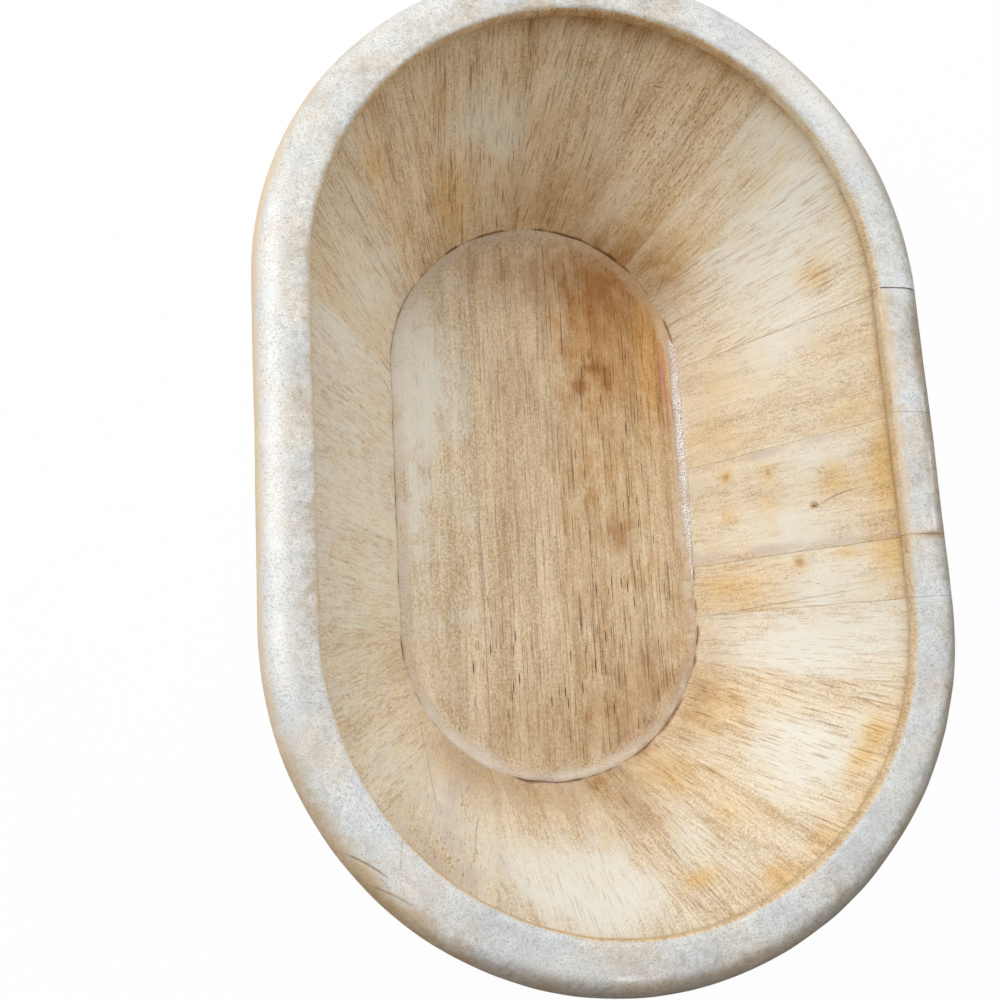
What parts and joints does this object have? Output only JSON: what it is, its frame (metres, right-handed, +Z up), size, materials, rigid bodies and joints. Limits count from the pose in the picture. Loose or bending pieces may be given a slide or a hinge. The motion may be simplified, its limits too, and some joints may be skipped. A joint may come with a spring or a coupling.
{
  "type": "dough bowl",
  "caption": "Deep oval wooden dough bowl, coopered from glued staves that flare out from an oval board floor to a thick rounded rim, for mixing, proving or serving.",
  "frame": {"origin": "middle of the oval, on the underside that the bowl stands on", "axes": "+Z up, +Y along the bowl's length to the far end, +X across it to the right-hand side"},
  "size_m": [0.28, 0.411, 0.142],
  "materials": {
    "stave_wood": "dry sanded tan wood with remains of whitewash, whitest on the rim's end grain",
    "floor_wood": "dry sanded golden-brown wood with dark vessel lines and a worn pale edge"
  },
  "bodies": {
    "root": {"right_stave_back": "stave_wood", "right_stave_middle": "stave_wood", "right_stave_front": "stave_wood", "left_stave_1": "stave_wood", "left_stave_2": "stave_wood", "left_stave_3": "stave_wood", "near_stave_1": "stave_wood", "near_stave_3": "stave_wood", "near_stave_6": "stave_wood", "far_stave_1": "stave_wood", "far_stave_7": "stave_wood", "far_stave_2": "stave_wood", "far_stave_3": "stave_wood", "far_stave_4": "stave_wood", "far_stave_5": "stave_wood", "far_stave_6": "stave_wood", "near_stave_2": "stave_wood", "near_stave_4": "stave_wood", "near_stave_5": "stave_wood", "near_stave_7": "stave_wood", "floor_board_left": "floor_wood", "floor_board_middle": "floor_wood", "floor_board_right": "floor_wood"}
  },
  "joints": []
}
